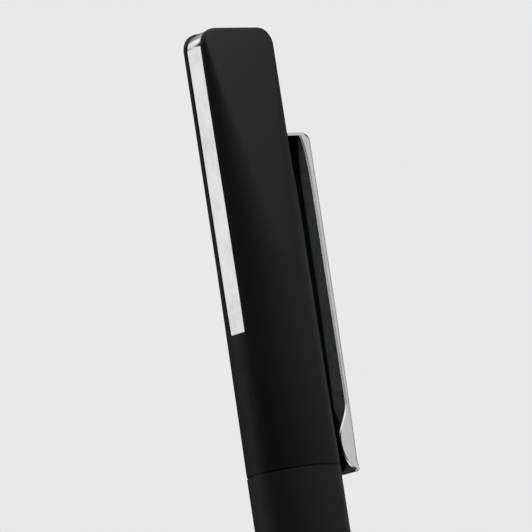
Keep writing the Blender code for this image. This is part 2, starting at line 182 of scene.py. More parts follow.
def filleted(profile):
    """The (r, z) points of a profile, where a third number rounds that corner to that
    radius."""
    points = []
    count = len(profile)
    for i, corner in enumerate(profile):
        here = Vector(corner[:2])
        if len(corner) == 2:
            points.append(here)
            continue
        before = Vector(profile[i - 1][:2]) - here
        after = Vector(profile[(i + 1) % count][:2]) - here
        half = before.angle(after) / 2
        reach = min(corner[2] / math.tan(half), 0.49 * before.length, 0.49 * after.length)
        radius = reach * math.tan(half)
        middle = (before.normalized() + after.normalized()).normalized()
        centre = here + middle * radius / math.sin(half)
        first = here + before.normalized() * reach - centre
        last = here + after.normalized() * reach - centre
        turn = first.angle_signed(last)
        for step in range(FILLET_STEPS + 1):
            spoke = first.copy()
            spoke.rotate(Matrix.Rotation(-turn * step / FILLET_STEPS, 2))
            points.append(centre + spoke)
    return points


def mesh_object(name, bm, smooth=True):
    bmesh.ops.recalc_face_normals(bm, faces=bm.faces)
    mesh = bpy.data.meshes.new(name)
    bm.to_mesh(mesh)
    bm.free()
    if smooth:
        mesh.shade_smooth()
        mesh.set_sharp_from_angle(angle=SMOOTH_ANGLE)
    obj = bpy.data.objects.new(name, mesh)
    bpy.context.scene.collection.objects.link(obj)
    return obj


def turned(name, profile, sides=ROUND_SIDES, shaped=None):
    """A turned solid from (r, z) points, closed into a ring if none lies on the axis.
    shaped is a function of (radius, z, angle) that gives each point its final radius."""
    points = filleted(profile)
    bm = bmesh.new()
    verts = [bm.verts.new((p.x * MM, 0.0, p.y * MM)) for p in points]
    for first, second in zip(verts, verts[1:]):
        bm.edges.new((first, second))
    if points[0].x > 0:
        bm.edges.new((verts[-1], verts[0]))
    edges = list(bm.edges)
    bmesh.ops.spin(
        bm,
        geom=verts + edges,
        cent=(0.0, 0.0, 0.0),
        axis=(0.0, 0.0, 1.0),
        angle=math.tau,
        steps=sides,
        use_merge=True,
    )
    bmesh.ops.remove_doubles(bm, verts=bm.verts, dist=2e-7)
    if shaped is not None:
        for vert in bm.verts:
            radius = vert.co.xy.length / MM
            angle = math.atan2(vert.co.y, vert.co.x)
            vert.co.xy *= shaped(radius, vert.co.z / MM, angle) / max(radius, 1e-6)
    return mesh_object(name, bm)


def thread_wave(z, angle, low, high):
    """0 at a thread's crest and 1 at its root, fading out to the crest at both ends."""
    share = ((z - low) / PITCH - angle / math.tau) % 1.0
    wave = min(1.0, max(0.0, 1.6 * (1 - abs(2 * share - 1)) - 0.3))
    fade = min(1.0, max(0.0, (z - low) / PITCH), max(0.0, (high - z) / PITCH))
    return wave * fade


def rows(radius, start, end, spacing):
    """Profile points up or down a wall, close enough together to carry a thread."""
    count = max(1, round(abs(end - start) / spacing))
    return [(radius, start + (end - start) * i / count) for i in range(1, count)]


def extruded(name, outline, width):
    """A solid whose outline lies in the XZ plane, centred on Y and as wide as width."""
    bm = bmesh.new()
    verts = [bm.verts.new((x * MM, -width / 2 * MM, z * MM)) for x, z in outline]
    face = bm.faces.new(verts)
    grown = bmesh.ops.extrude_face_region(bm, geom=[face])["geom"]
    moved = [item for item in grown if isinstance(item, bmesh.types.BMVert)]
    bmesh.ops.translate(bm, verts=moved, vec=(0.0, width * MM, 0.0))
    return mesh_object(name, bm, smooth=False)


def lofted(name, rings):
    """A closed solid through rings of equal length, flat on the first and the last."""
    bm = bmesh.new()
    levels = [[bm.verts.new([c * MM for c in point]) for point in ring] for ring in rings]
    for low, high in zip(levels, levels[1:]):
        for i in range(len(low)):
            j = (i + 1) % len(low)
            bm.faces.new((low[i], low[j], high[j], high[i]))
    bm.faces.new(list(reversed(levels[0])))
    bm.faces.new(levels[-1])
    bmesh.ops.remove_doubles(bm, verts=bm.verts, dist=1e-7)
    bmesh.ops.dissolve_degenerate(bm, edges=bm.edges, dist=1e-7)
    return mesh_object(name, bm, smooth=False)


def boxed(name, low, high):
    bm = bmesh.new()
    bmesh.ops.create_cube(bm, size=1.0)
    middle = (Vector(low) + Vector(high)) / 2
    spread = Vector(high) - Vector(low)
    bmesh.ops.scale(bm, verts=bm.verts, vec=spread * MM)
    bmesh.ops.translate(bm, verts=bm.verts, vec=middle * MM)
    return mesh_object(name, bm, smooth=False)


def apply_modifiers(obj):
    graph = bpy.context.evaluated_depsgraph_get()
    mesh = bpy.data.meshes.new_from_object(obj.evaluated_get(graph), depsgraph=graph)
    mesh.name = obj.name
    obj.modifiers.clear()
    obj.data = mesh


def cut(obj, cutter):
    """Cuts one solid out of another, and removes the cutter."""
    boolean = obj.modifiers.new("Cut", "BOOLEAN")
    boolean.operation = "DIFFERENCE"
    boolean.solver = "EXACT"
    boolean.object = cutter
    apply_modifiers(obj)
    bpy.data.objects.remove(cutter)


def soften(obj, width, segments=2, angle=40.0):
    """Rounds the sharp edges, and keeps the flats flat to the eye."""
    bevel = obj.modifiers.new("Edges", "BEVEL")
    bevel.width = width * MM
    bevel.segments = segments
    bevel.limit_method = "ANGLE"
    bevel.angle_limit = math.radians(angle)
    bevel.miter_outer = "MITER_ARC"
    bevel.use_clamp_overlap = True
    apply_modifiers(obj)
    smooth_by_angle(obj)


def smooth_to_sharp(obj):
    obj.data.shade_smooth()
    obj.data.set_sharp_from_angle(angle=SMOOTH_ANGLE)


def smooth_by_angle(obj):
    smooth_to_sharp(obj)
    weighted = obj.modifiers.new("Normals", "WEIGHTED_NORMAL")
    weighted.keep_sharp = True
    weighted.weight = 80
    apply_modifiers(obj)


BODY_OF = {
    node: body
    for body, nodes in frame["record"]["behaviour"]["bodies"].items()
    for node in nodes
}


def finished(obj, node, material, ride=True):
    """The piece stands for a CAD node: it rides on the node's body and takes its slot."""
    obj.data.materials.clear()
    obj.data.materials.append(material)
    if ride:
        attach(obj, BODY_OF[node])
    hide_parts(node)
    return obj


# ---------------------------------------------------------------- materials


class Shader:
    """A material's node tree, with short calls for the nodes used here."""

    def __init__(self, name, color, roughness, metallic=0.0, **settings):
        self.material = bpy.data.materials.new(name)
        self.material.use_nodes = True
        self.tree = self.material.node_tree
        self.surface = self.tree.nodes["Principled BSDF"]
        self.surface.inputs["Base Color"].default_value = (*color, 1.0)
        self.surface.inputs["Roughness"].default_value = roughness
        self.surface.inputs["Metallic"].default_value = metallic
        for socket, value in settings.items():
            self.surface.inputs[socket.replace("_", " ")].default_value = value
        self.place = self.add("ShaderNodeTexCoord").outputs["Object"]

    def add(self, kind, **inputs):
        node = self.tree.nodes.new(kind)
        for socket, value in inputs.items():
            self.feed(node.inputs[socket.replace("_", " ")], value)
        return node

    def feed(self, socket, value):
        if isinstance(value, bpy.types.NodeSocket):
            self.tree.links.new(value, socket)
        else:
            socket.default_value = value

    def stretched(self, scale):
        """The place on the object, scaled by three numbers."""
        return self.add("ShaderNodeMapping", Vector=self.place, Scale=scale).outputs["Vector"]

    def noise(self, scale, detail=3.0, rough=0.5, place=None):
        node = self.add("ShaderNodeTexNoise", Vector=place or self.place, Scale=scale)
        node.inputs["Detail"].default_value = detail
        node.inputs["Roughness"].default_value = rough
        return node.outputs["Fac"]

    def spots(self, scale):
        return self.add("ShaderNodeTexVoronoi", Vector=self.place, Scale=scale).outputs["Distance"]

    def ranged(self, value, low, high, to_low, to_high):
        node = self.add("ShaderNodeMapRange", Value=value)
        limits = {"From Min": low, "From Max": high, "To Min": to_low, "To Max": to_high}
        for socket, number in limits.items():
            node.inputs[socket].default_value = number
        return node.outputs["Result"]

    def mixed(self, share, first, second):
        """Between two colours by a share."""
        node = self.tree.nodes.new("ShaderNodeMix")
        node.data_type = "RGBA"
        self.feed(node.inputs["Factor"], share)
        for index, color in ((6, first), (7, second)):
            plain = not isinstance(color, bpy.types.NodeSocket)
            self.feed(node.inputs[index], (*color, 1.0) if plain else color)
        return node.outputs[2]

    def added(self, first, second, share=1.0):
        """first + share * second."""
        node = self.tree.nodes.new("ShaderNodeMath")
        node.operation = "MULTIPLY_ADD"
        self.feed(node.inputs[0], second)
        node.inputs[1].default_value = share
        self.feed(node.inputs[2], first)
        return node.outputs[0]

    def worn_edges(self, low=0.52, high=0.62):
        """1 on the sharpest outer edges, 0 elsewhere."""
        point = self.add("ShaderNodeNewGeometry").outputs["Pointiness"]
        return self.ranged(point, low, high, 0.0, 1.0)

    def bump(self, height, depth, strength=1.0, below=None):
        node = self.add("ShaderNodeBump", Height=height)
        node.inputs["Strength"].default_value = strength
        node.inputs["Distance"].default_value = depth * MM
        if below is not None:
            self.tree.links.new(below, node.inputs["Normal"])
        return node.outputs["Normal"]

    def color(self, value):
        self.feed(self.surface.inputs["Base Color"], value)

    def roughness(self, value):
        self.feed(self.surface.inputs["Roughness"], value)

    def normal(self, value):
        self.feed(self.surface.inputs["Normal"], value)


def soft_touch_black():
    """Rubberised lacquer: a deep black with a fine dry grain, and a faint polish where
    fingers rub its edges."""
    base, rubbed = (0.0082, 0.0080, 0.0082), (0.020, 0.0195, 0.019)
    m = Shader("soft_touch_black", base, 0.5, Specular_IOR_Level=0.42, Sheen_Weight=0.04)
    m.surface.inputs["Sheen Roughness"].default_value = 0.45
    cloud = m.noise(260.0, 4.0)
    grain = m.noise(14000.0, 2.0, 0.6)
    edge = m.worn_edges()
    tone = m.mixed(m.ranged(cloud, 0.35, 0.7, 0.0, 1.0), base, (0.0098, 0.0096, 0.0098))
    m.color(m.mixed(edge, tone, rubbed))
    rough = m.added(m.ranged(cloud, 0.3, 0.7, 0.50, 0.56), grain, 0.04)
    m.roughness(m.added(rough, edge, -0.10))
    m.normal(m.bump(grain, 0.0035, 0.35, m.bump(m.noise(1500.0, 3.0), 0.004, 0.2)))
    return m.material


def plated_steel(name, color, rough, brush):
    """Bright plating over drawn sheet: hairlines along the length, and faint handling
    marks."""
    m = Shader(name, color, rough, 1.0)
    lines = m.noise(1.0, 3.0, 0.6, m.stretched((16000.0, 16000.0, 260.0)))
    haze = m.noise(420.0, 4.0, 0.55)
    marks = m.noise(1.0, 2.0, 0.5, m.stretched((5200.0, 900.0, 5200.0)))
    duller = tuple(0.9 * c for c in color)
    m.color(m.mixed(m.ranged(haze, 0.4, 0.75, 0.0, 1.0), color, duller))
    fine = m.added(m.ranged(haze, 0.3, 0.75, rough - 0.03, rough + 0.07), lines, 0.04)
    m.roughness(m.added(fine, m.ranged(marks, 0.68, 0.78, 0.0, 1.0), 0.08))
    m.normal(m.bump(lines, 0.0006, brush))
    return m.material


def channel_shade_steel():
    """The inside of the clip's channel: dark, rough steel as painted shade in the channel, with a tone
    that varies at random.
    """
    m = Shader("clip_inside_painted_shade", (0.06, 0.065, 0.07), 0.45, 0.6)
    lines = m.noise(1.0, 3.0, 0.6, m.stretched((9000.0, 9000.0, 400.0)))
    stain = m.noise(900.0, 5.0, 0.6)
    stained = m.ranged(stain, 0.35, 0.7, 0.0, 1.0)
    m.color(m.mixed(stained, (0.065, 0.07, 0.077), (0.042, 0.045, 0.05)))
    m.roughness(m.ranged(stain, 0.3, 0.75, 0.4, 0.52))
    m.normal(m.bump(lines, 0.0012, 0.25))
    return m.material


def edge_highlight_steel():
    """The front flange's cut edge: a brighter and softer steel than its face, as a painted highlight."""
    m = Shader("clip_edge_painted_highlight", (0.93, 0.93, 0.92), 0.24, 1.0)
    grain = m.noise(2600.0, 3.0, 0.5)
    m.roughness(m.ranged(grain, 0.3, 0.75, 0.2, 0.3))
    m.normal(m.bump(grain, 0.0004, 0.15))
    return m.material


def spring_steel():
    """Drawn wire with lengthwise die lines."""
    m = Shader("spring_steel", (0.5, 0.5, 0.51), 0.28, 1.0)
    lines = m.noise(1.0, 2.0, 0.6, m.stretched((9000.0, 9000.0, 3000.0)))
    haze = m.noise(900.0)
    m.color(m.mixed(haze, (0.56, 0.56, 0.57), (0.42, 0.42, 0.43)))
    m.roughness(m.added(m.ranged(haze, 0.3, 0.7, 0.22, 0.36), lines, 0.06))
    m.normal(m.bump(lines, 0.0012, 0.4))
    return m.material


def machined_brass():
    """Turned brass: fine tool rings round the axis and a light tarnish."""
    m = Shader("machined_brass", (0.72, 0.53, 0.25), 0.26, 1.0)
    rings = m.noise(1.0, 2.0, 0.6, m.stretched((60.0, 60.0, 15000.0)))
    tarnish = m.noise(600.0, 5.0)
    m.color(m.mixed(m.ranged(tarnish, 0.45, 0.75, 0.0, 1.0), (0.74, 0.55, 0.27), (0.5, 0.34, 0.14)))
    m.roughness(m.added(m.ranged(tarnish, 0.3, 0.7, 0.2, 0.36), rings, 0.08))
    m.normal(m.bump(rings, 0.0025, 0.6))
    return m.material


def moulded(name, color, rough, grain_scale=5200.0, grain_depth=0.0022, **settings):
    """An injection moulding: spark-eroded grain, slow changes of gloss, and edges that
    are a little smoother and paler."""
    m = Shader(name, color, rough, **settings)
    flow = m.noise(1.0, 3.0, 0.5, m.stretched((500.0, 500.0, 120.0)))
    grain = m.spots(grain_scale)
    edge = m.worn_edges()
    paler = tuple(min(1.0, c * 1.18 + 0.003) for c in color)
    worn = tuple(min(1.0, c * 1.5 + 0.008) for c in color)
    m.color(m.mixed(edge, m.mixed(flow, color, paler), worn))
    m.roughness(m.added(m.ranged(flow, 0.3, 0.7, rough - 0.05, rough + 0.06), edge, -0.08))
    m.normal(m.bump(grain, grain_depth, 0.35))
    return m.material


def natural_plastic():
    """Uncoloured polypropylene: milky, and a little see-through."""
    m = Shader("natural_plastic", (0.76, 0.75, 0.70), 0.34, Transmission_Weight=0.22, IOR=1.49)
    m.surface.inputs["Subsurface Weight"].default_value = 0.3
    m.surface.inputs["Subsurface Radius"].default_value = (0.0012, 0.0011, 0.0009)
    m.surface.inputs["Subsurface Scale"].default_value = 1.0
    flow = m.noise(1.0, 3.0, 0.5, m.stretched((500.0, 500.0, 90.0)))
    m.color(m.mixed(flow, (0.80, 0.79, 0.74), (0.72, 0.70, 0.64)))
    m.roughness(m.ranged(flow, 0.3, 0.7, 0.28, 0.42))
    m.normal(m.bump(m.noise(3500.0), 0.002, 0.25))
    return m.material


def seal_rubber():
    """Moulded elastomer, dry and faintly dusty."""
    m = Shader("seal_rubber", (0.014, 0.014, 0.014), 0.72, Specular_IOR_Level=0.35)
    dust = m.noise(2600.0, 4.0, 0.6)
    m.color(m.mixed(m.ranged(dust, 0.5, 0.8, 0.0, 1.0), (0.014, 0.014, 0.014), (0.04, 0.039, 0.037)))
    m.roughness(m.ranged(dust, 0.3, 0.7, 0.62, 0.82))
    m.normal(m.bump(dust, 0.004, 0.4))
    return m.material


def fibre(name, dry, wet, wet_from, wet_to, strand_scale):
    """Bonded fibre with strands along the pen, dry at one end and soaked at the other."""
    m = Shader(name, dry, 0.88, Specular_IOR_Level=0.3, Sheen_Weight=0.25)
    strands = m.noise(1.0, 3.0, 0.65, m.stretched((strand_scale, strand_scale, strand_scale / 14)))
    height = m.add("ShaderNodeSeparateXYZ", Vector=m.place).outputs["Z"]
    ragged = m.added(height, strands, 2.0 * MM)
    soaked = m.ranged(ragged, wet_from * MM, wet_to * MM, 0.0, 1.0)
    pale = m.mixed(m.ranged(strands, 0.35, 0.65, 0.0, 1.0), dry, tuple(0.72 * c for c in dry))
    dark = m.mixed(m.ranged(strands, 0.35, 0.65, 0.0, 1.0), wet, tuple(0.6 * c for c in wet))
    m.color(m.mixed(soaked, pale, dark))
    m.roughness(m.ranged(strands, 0.3, 0.7, 0.78, 0.95))
    m.normal(m.bump(strands, 0.03, 0.7))
    return m.material


SOFT_TOUCH = soft_touch_black()
TRIM_STEEL = plated_steel("bright_trim", (0.80, 0.80, 0.80), 0.10, 0.12)
CLIP_STEEL = plated_steel("clip_steel", (0.78, 0.77, 0.745), 0.13, 0.18)
# painted shade: the dark steel for the channel's inside and the back flange's edge
CLIP_INSIDE_SHADE = channel_shade_steel()
# painted highlight: the brighter steel for the front flange's edge
CLIP_EDGE_HIGHLIGHT = edge_highlight_steel()
SPRING_STEEL = spring_steel()
BRASS = machined_brass()
BLACK_PLASTIC = moulded("black_plastic", (0.016, 0.016, 0.017), 0.36)
TAIL_PLASTIC = moulded("tail_plastic", (0.012, 0.012, 0.0125), 0.46, Specular_IOR_Level=0.42)
LINER_PLASTIC = moulded("liner_plastic", (0.13, 0.13, 0.134), 0.44, 3800.0, 0.003)
NATURAL_PLASTIC = natural_plastic()
RUBBER = seal_rubber()
INK_FIBRE = fibre("ink_fibre", (0.66, 0.50, 0.26), (0.46, 0.26, 0.06), 12.0, 40.0, 9000.0)
NIB_FELT = fibre("nib_felt", (0.46, 0.27, 0.08), (0.30, 0.14, 0.025), 100.0, 112.5, 16000.0)


# ---------------------------------------------------------------- cap


def head_blend(z):
    """0 where the cap is round, 1 at the flat top."""
    return max(0.0, (z - FACET_Z) / (TOP_Z - FACET_Z))


def head_ring(z, round_r=FACET_R, inset=0.0, shave=0.0, thinner=0.0):
    """One level of the cap, with round_r as its radius at FACET_Z. The corner arcs shrink
    and move out in step as z rises, so the sides between them are flats that widen from
    points at FACET_Z. inset moves the head's sides in, shave narrows the level in X only
    and thinner in Y only."""
    t = head_blend(z)
    radius = round_r * (1 - t) + HEAD_CORNER * t
    centre_x = (HEAD_HALF_W - inset - HEAD_CORNER) * t - shave
    centre_y = (HEAD_HALF_T - inset - HEAD_CORNER) * t - thinner
    points = []
    for quarter, (sign_x, sign_y) in enumerate(((1, 1), (-1, 1), (-1, -1), (1, -1))):
        for i in range(QUARTER_STEPS + 1):
            angle = math.pi / 2 * (quarter + i / QUARTER_STEPS)
            x = sign_x * centre_x + radius * math.cos(angle)
            y = sign_y * centre_y + radius * math.sin(angle)
            points.append((x, y, z))
    return points


def round_ring(z, radius):
    """A round level with as many points as head_ring gives."""
    return [(x * radius / FACET_R, y * radius / FACET_R, z) for x, y, _ in head_ring(MOUTH_Z)]


def cap_outside():
    """Levels from the mouth's inner lip up to the top."""
    lip = arc((MOUTH_R - MOUTH_ROUND, MOUTH_Z + MOUTH_ROUND), MOUTH_ROUND, -90, 0, 4)
    rings = [round_ring(z, radius) for radius, z in lip]
    rings.append(round_ring((MOUTH_Z + FACET_Z) / 2, (MOUTH_R + FACET_R) / 2))
    base = TOP_Z - SHOULDER_R
    for i in range(HEAD_LEVELS + 1):
        rings.append(head_ring(FACET_Z + (base - FACET_Z) * i / HEAD_LEVELS))
    edge_start = math.asin(1 - TOP_EDGE / SHOULDER_R)
    for i in range(1, 13):
        angle = edge_start * i / 12
        z = TOP_Z - SHOULDER_R * (1 - math.sin(angle))
        rings.append(head_ring(z, shave=SHOULDER_R * (1 - math.cos(angle))))
    for i in range(1, 7):
        turn = math.pi / 2 * i / 6
        z = TOP_Z - TOP_EDGE * (1 - math.sin(turn))
        angle = math.asin(min(1.0, 1 - (TOP_Z - z) / SHOULDER_R))
        shave = SHOULDER_R * (1 - math.cos(angle))
        rings.append(head_ring(z, shave=shave, thinner=TOP_EDGE * (1 - math.cos(turn))))
    return rings


def cap_inside():
    """Levels from the cavity's end down to the mouth."""
    rings = [
        head_ring(CAVITY_TOP, CAP_BORE, CAP_WALL, shave=1.2),
        head_ring(CAVITY_TOP - 0.4, CAP_BORE, CAP_WALL, shave=0.5),
    ]
    levels = 9
    flat_top = CAVITY_TOP - 1.5
    for i in range(levels + 1):
        z = flat_top + (FACET_Z - flat_top) * i / levels
        rings.append(head_ring(z, CAP_BORE, CAP_WALL))
    rings.append(round_ring(MOUTH_Z + 0.2, CAP_BORE))
    rings.append(round_ring(MOUTH_Z, CAP_BORE + 0.12))
    return rings


def trim_path(depth, steps=24):
    """The line in the XZ plane that lies depth inside the head's side, shoulder and top."""
    top_x = HEAD_HALF_W + (FACET_R - HEAD_HALF_W) * (1 - head_blend(TOP_Z - SHOULDER_R))
    centre = (SHOULDER_R - top_x, TOP_Z - SHOULDER_R)
    side = [(depth - TRIM_FACE_X, BAND_LOW.z)]
    shoulder = arc(centre, SHOULDER_R - depth, 180, 90, steps)
    return side + shoulder + [(BAND_HIGH.x, TOP_Z - depth)]


def trim_groove():
    """The cutter for the band's groove, open outwards."""
    floor = trim_path(TRIM_SINK + TRIM_THICK + TRIM_GAP)
    start, end = floor[0], floor[-1]
    outline = [
        (-MOUTH_R - 2.0, start[1] - TRIM_GAP),
        (start[0], start[1] - TRIM_GAP),
        *floor[1:-1],
        (end[0] + TRIM_GAP, end[1]),
        (end[0] + TRIM_GAP, TOP_Z + 2.0),
        (-MOUTH_R - 2.0, TOP_Z + 2.0),
    ]
    return extruded("trim_groove", outline, TRIM_WIDTH + 2 * TRIM_GAP)


def make_cap_shell():
    shell = lofted("cap_shell_finish", cap_outside() + cap_inside())
    cut(shell, trim_groove())
    half_slot = SHEET / 2 + SLOT_CLEARANCE
    half_width = TAB_WIDTH / 2 + SLOT_CLEARANCE
    slot = boxed(
        "clip_slot",
        (CAP_BORE - 1.0, -half_width, CLIP_ROOT_Z - half_slot),
        (MOUTH_R + 1.0, half_width, CLIP_ROOT_Z + half_slot),
    )
    cut(shell, slot)
    smooth_to_sharp(shell)
    finished(shell, "cap_shell", SOFT_TOUCH)


def make_trim_band():
    outline = trim_path(TRIM_SINK) + trim_path(TRIM_SINK + TRIM_THICK)[::-1]
    band = extruded("trim_band_finish", outline, TRIM_WIDTH)
    soften(band, 0.07, 3)
    finished(band, "trim_band", TRIM_STEEL)


def make_cap_sleeve():
    outer, bore = SLEEVE_HIGH.x, 4.75
    low, high = SNAP_LOW.z - 0.1, SNAP_HIGH.z + 0.1
    profile = [
        (outer, SLEEVE_HIGH.z, 0.15),
        (outer, SLEEVE_LOW.z, 0.15),
        (bore + 0.2, SLEEVE_LOW.z, 0.1),
        (bore, SLEEVE_LOW.z + 0.6, 0.2),
        (bore, low - 0.1, 0.05),
        (bore + 0.15, low + 0.1, 0.05),
        (bore + 0.15, high - 0.1, 0.05),
        (bore, high + 0.1, 0.05),
        (bore, SLEEVE_HIGH.z, 0.1),
    ]
    finished(turned("cap_sleeve_finish", profile), "cap_sleeve", LINER_PLASTIC)


def make_inner_cap():
    outer = INNER_HIGH.x
    seat = SEAL_HIGH.z + 0.05
    profile = [
        (0.0, INNER_HIGH.z),
        (3.2, INNER_HIGH.z, 0.2),
        (3.45, INNER_HIGH.z - 0.3, 0.3),
        (outer, 104.5, 1.5),
        (outer, INNER_LOW.z, 0.1),
        (4.5, INNER_LOW.z, 0.15),
        (4.5, seat, 0.05),
        (3.6, seat, 0.1),
        (3.1, INNER_HIGH.z - 0.7, 0.4),
        (0.0, INNER_HIGH.z - 0.7),
    ]
    finished(turned("inner_cap_finish", profile), "inner_cap", NATURAL_PLASTIC)


def make_inner_cap_seal():
    outer, inner, lip = SEAL_HIGH.x, 3.05, 0.3
    profile = [
        (outer, SEAL_HIGH.z, lip),
        (outer, SEAL_LOW.z, lip),
        (inner, SEAL_LOW.z, lip),
        (inner, SEAL_HIGH.z, lip),
    ]
    finished(turned("inner_cap_seal_finish", profile, 96), "inner_cap_seal", RUBBER)


def make_clip_retainer():
    clearance = 0.32
    rings = [head_ring(z, CAP_BORE - 0.08, CAP_WALL + 0.08) for z in (BLOCK_LOW.z, BLOCK_HIGH.z)]
    block = lofted("clip_retainer_finish", rings)
    half_width = TAB_WIDTH / 2 + clearance
    pocket = boxed(
        "tab_pocket",
        (TAB_X - clearance, -half_width, CLIP_ROOT_Z - SHEET / 2 - clearance),
        (MOUTH_R + 1.0, half_width, TAB_TOP + clearance),
    )
    cut(block, pocket)
    soften(block, 0.1, 2, 60.0)
    finished(block, "clip_retainer", LINER_PLASTIC)


# ---------------------------------------------------------------- clip


def clip_face_x(z):
    """The outer face of the clip's web, straight at first and curving in to the tip."""
    share = (BEND_Z - z) / (BEND_Z - CLIP_TIP_Z)
    return CLIP_FACE_X - CLIP_LEAN * share**3


def web_line(depth, low):
    """The web's line from the bend down to a height, depth inside its outer face."""
    bend = arc((CLIP_FACE_X - CLIP_BEND_R, BEND_Z), CLIP_BEND_R - depth, 90, 0, 12)
    heights = [BEND_Z + (low - BEND_Z) * i / WEB_STEPS for i in range(1, WEB_STEPS + 1)]
    return bend + [(clip_face_x(z) - depth, z) for z in heights]


def clip_outline():
    """The clip from the side: tab, arm, bend, web, tip and the flange edge with its bump."""
    tip_z = CLIP_TIP_Z + CLIP_TIP_R
    tip = arc((clip_face_x(tip_z) - CLIP_TIP_R, tip_z), CLIP_TIP_R, 0, -90, 6)
    return [
        (TAB_X, TAB_TOP),
        (TAB_X + SHEET, TAB_TOP),
        (TAB_X + SHEET, ARM_TOP),
        *web_line(0.0, tip_z),
        *tip[1:],
        FLANGE_TIP,
        *bezier(FLANGE_TIP, (8.75, 76.85), (BUMP[0], 78.1), BUMP, 24),
        *bezier(BUMP, (BUMP[0], 82.3), (9.2, 83.6), BUMP_TOP, 24),
        *bezier(BUMP_TOP, (FLANGE_X, 89.0), (FLANGE_X, 92.0), (FLANGE_X, 95.0), 6),
        *bezier((FLANGE_X, FLANGE_TOP_Z), (FLANGE_X, 118.0), (9.25, 121.3), (FLANGE_ROOT_X, ARM_LOW), 12),
        (TAB_X, ARM_LOW),
    ]


def round_folds(clip):
    """Rounds the two long outer edges of the bend, the web and the tip, where the sheet
    is folded."""
    bm = bmesh.new()
    bm.from_mesh(clip.data)
    near = 1e-3

    def on_fold(co):
        in_bend = co.z > BEND_Z - near and co.x > CLIP_FACE_X - CLIP_BEND_R + near
        return in_bend or abs(co.x - clip_face_x(co.z)) < near

    folds = []
    for edge in bm.edges:
        start, end = (vert.co / MM for vert in edge.verts)
        lengthwise = abs(start.y - end.y) < near
        if lengthwise and on_fold(start) and on_fold(end):
            folds.append(edge)
    bmesh.ops.bevel(
        bm, geom=folds, offset=FOLD_R * MM, segments=6, profile=0.5, affect="EDGES"
    )
    bm.to_mesh(clip.data)
    bm.free()


def crown_tip(clip):
    """Curves the clip's lower end, so that its corners are higher than its middle."""
    reach = 1.6
    for vert in clip.data.vertices:
        share = 1 - (vert.co.z / MM - CLIP_TIP_Z) / reach
        if share > 0:
            side = abs(vert.co.y / MM) / (CLIP_WIDTH / 2)
            vert.co.z += TIP_CROWN * share * side**2 * MM


def paint_clip_light_and_shade(clip):
    """Paints light and shade onto the clip: the channel's inside and the edge of the flange at the back
    take a dark steel as painted shade, and the front flange's edge takes a brighter steel as a painted
    highlight."""
    clip.data.materials.append(CLIP_INSIDE_SHADE)
    clip.data.materials.append(CLIP_EDGE_HIGHLIGHT)
    # material slots for the painted shade and the painted highlight
    shade_slot, highlight_slot = 1, 2
    near = 0.03
    half = CLIP_WIDTH / 2
    wall = half - SHEET
    for face in clip.data.polygons:
        x, y, z = face.center / MM
        normal = face.normal
        if x < NECK_X or z < CLIP_TIP_Z:
            continue
        web_x = clip_face_x(min(z, BEND_Z))
        inner_bend = z >= BEND_Z and x > CLIP_FACE_X - CLIP_BEND_R and normal.z < 0.2
        on_sheet = inner_bend or abs(x - web_x + SHEET) < near
        on_web = normal.x < -0.2 and abs(y) < wall and on_sheet
        on_flange = normal.y * y < -0.7 * abs(y) and abs(abs(y) - wall) < 0.02
        on_edge = wall < abs(y) < half and abs(normal.y) < 0.9 and x < web_x - 1.2 * SHEET
        # painted shade on the channel's inside and the back flange's edge, painted highlight on the front
        # flange's edge
        if on_web or on_flange:
            face.material_index = shade_slot
        elif on_edge and z < ARM_LOW:
            face.material_index = shade_slot if y > 0 else highlight_slot


def make_clip():
    """A folded channel: the side outline across its whole width, hollowed between the
    two flanges as far as the web and the arm, and cut narrower inside the head."""
    clip = extruded("clip_finish", clip_outline(), CLIP_WIDTH)
    round_folds(clip)
    below, inside = CLIP_TIP_Z - 1.0, BUMP[0] - 1.0
    hollow = web_line(SHEET, below) + [(inside, below), (inside, ARM_LOW)]
    cut(clip, extruded("clip_channel", hollow, CLIP_WIDTH - 2 * SHEET))
    for side in (-1, 1):
        near, far = sorted((side * TAB_WIDTH / 2, side * CLIP_WIDTH))
        low = (TAB_X - 1.0, near, CLIP_ROOT_Z - 1.0)
        high = (NECK_X, far, TAB_TOP + 1.0)
        cut(clip, boxed("clip_neck_side", low, high))
    soften(clip, SHEET_EDGE, 1, 50.0)
    crown_tip(clip)
    finished(clip, "clip", CLIP_STEEL)
    # painted shade inside the channel and on the back flange's edge, painted highlight on the front
    # flange's edge
    paint_clip_light_and_shade(clip)


# ---------------------------------------------------------------- barrel


def make_barrel_tube():
    top, bottom, bore = BARREL_HIGH.z, BARREL_LOW.z, 5.4
    taper_top, taper, blend_r = 24.0, 0.25, 60.0
    profile = [
        (BARREL_R, top, MOUTH_ROUND),
        (BARREL_R, taper_top, blend_r),
        (BARREL_R - taper, bottom, 0.12),
        (bore, bottom, 0.05),
        (bore, top, 0.1),
    ]
    finished(turned("barrel_tube_finish", profile), "barrel_tube", SOFT_TOUCH)


def make_tail_plug():
    """A cup pressed in the barrel's end, with a shallow dimple in its flat face."""
    outer = PLUG_HIGH.x
    cup_r, cup_floor = 3.9, 3.0
    pressed_r, step_z, edge_z = 5.35, 2.45, 0.6
    rest_r, dimple_r, dimple_depth = 5.4, 1.1, 0.22
    profile = [
        (0.0, cup_floor),
        (cup_r, cup_floor, 0.4),
        (cup_r, PLUG_HIGH.z, 0.15),
        (pressed_r, PLUG_HIGH.z, 0.3),
        (pressed_r, step_z, 0.05),
        (outer, step_z, 0.1),
        (outer, edge_z, 0.5),
        (rest_r, 0.0, 0.25),
        (dimple_r, 0.0, 0.08),
        (dimple_r - 0.25, dimple_depth, 0.1),
        (0.0, dimple_depth),
    ]
    finished(turned("tail_plug_finish", profile), "tail_plug", TAIL_PLASTIC)


